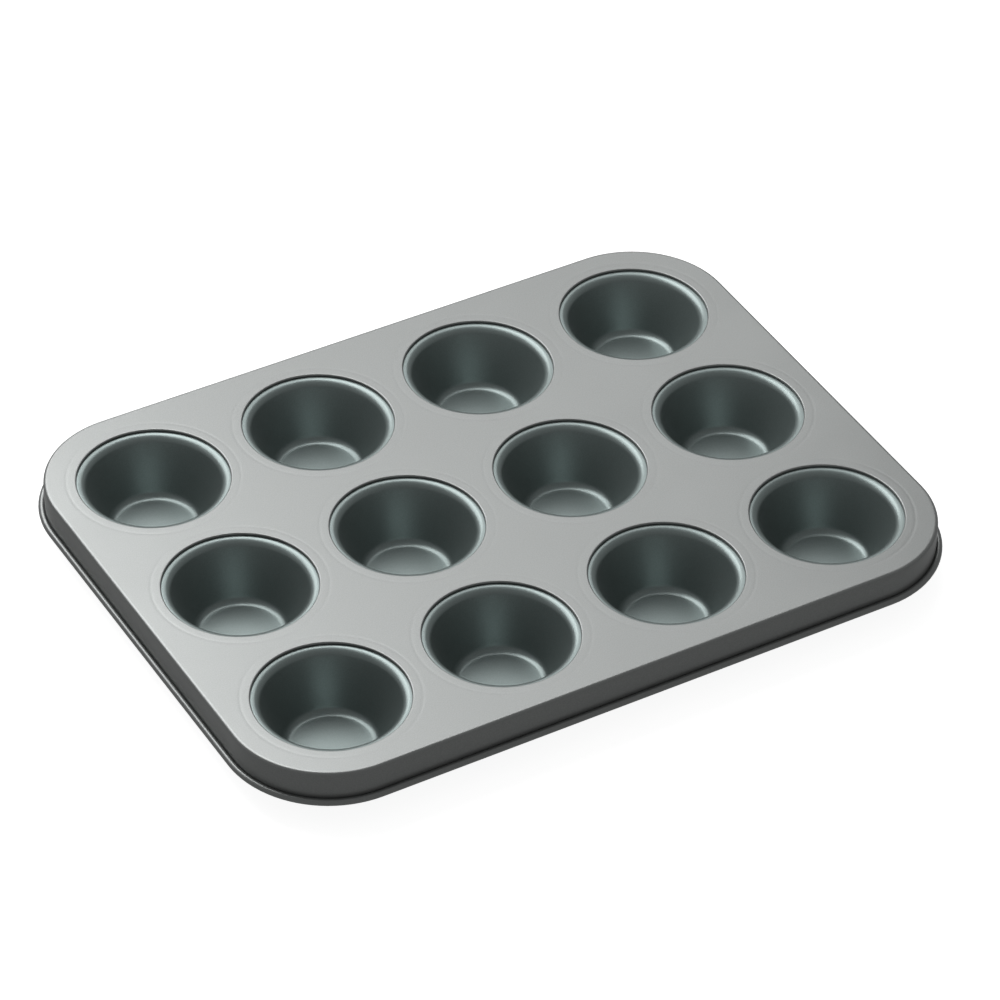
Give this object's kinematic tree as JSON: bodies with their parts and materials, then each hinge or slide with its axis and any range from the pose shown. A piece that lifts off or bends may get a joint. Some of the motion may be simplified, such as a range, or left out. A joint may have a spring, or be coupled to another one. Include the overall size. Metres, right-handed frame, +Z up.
{
  "type": "muffin tin",
  "caption": "Low rectangular baking tin with a flat plate, round tapering cups seamed into it in straight rows, a turned-down skirt and a wired rolled rim.",
  "frame": {"origin": "under the middle of the tin, level with the undersides of the cups it stands on", "axes": "+X along a row of four cups, +Y across the three rows towards the back, +Z up"},
  "size_m": [0.3526, 0.2692, 0.0284],
  "materials": {
    "sheet": "satin dark grey non-stick coating on carbon steel",
    "cup": "satin dark grey non-stick coating on carbon steel",
    "wire": "plain drawn steel wire"
  },
  "bodies": {
    "root": {"top_sheet": "sheet", "rim_wire": "wire", "cup_r1c1": "cup", "cup_r1c2": "cup", "cup_r1c3": "cup", "cup_r1c4": "cup", "cup_r2c1": "cup", "cup_r2c2": "cup", "cup_r2c3": "cup", "cup_r2c4": "cup", "cup_r3c1": "cup", "cup_r3c2": "cup", "cup_r3c3": "cup", "cup_r3c4": "cup"}
  },
  "joints": []
}
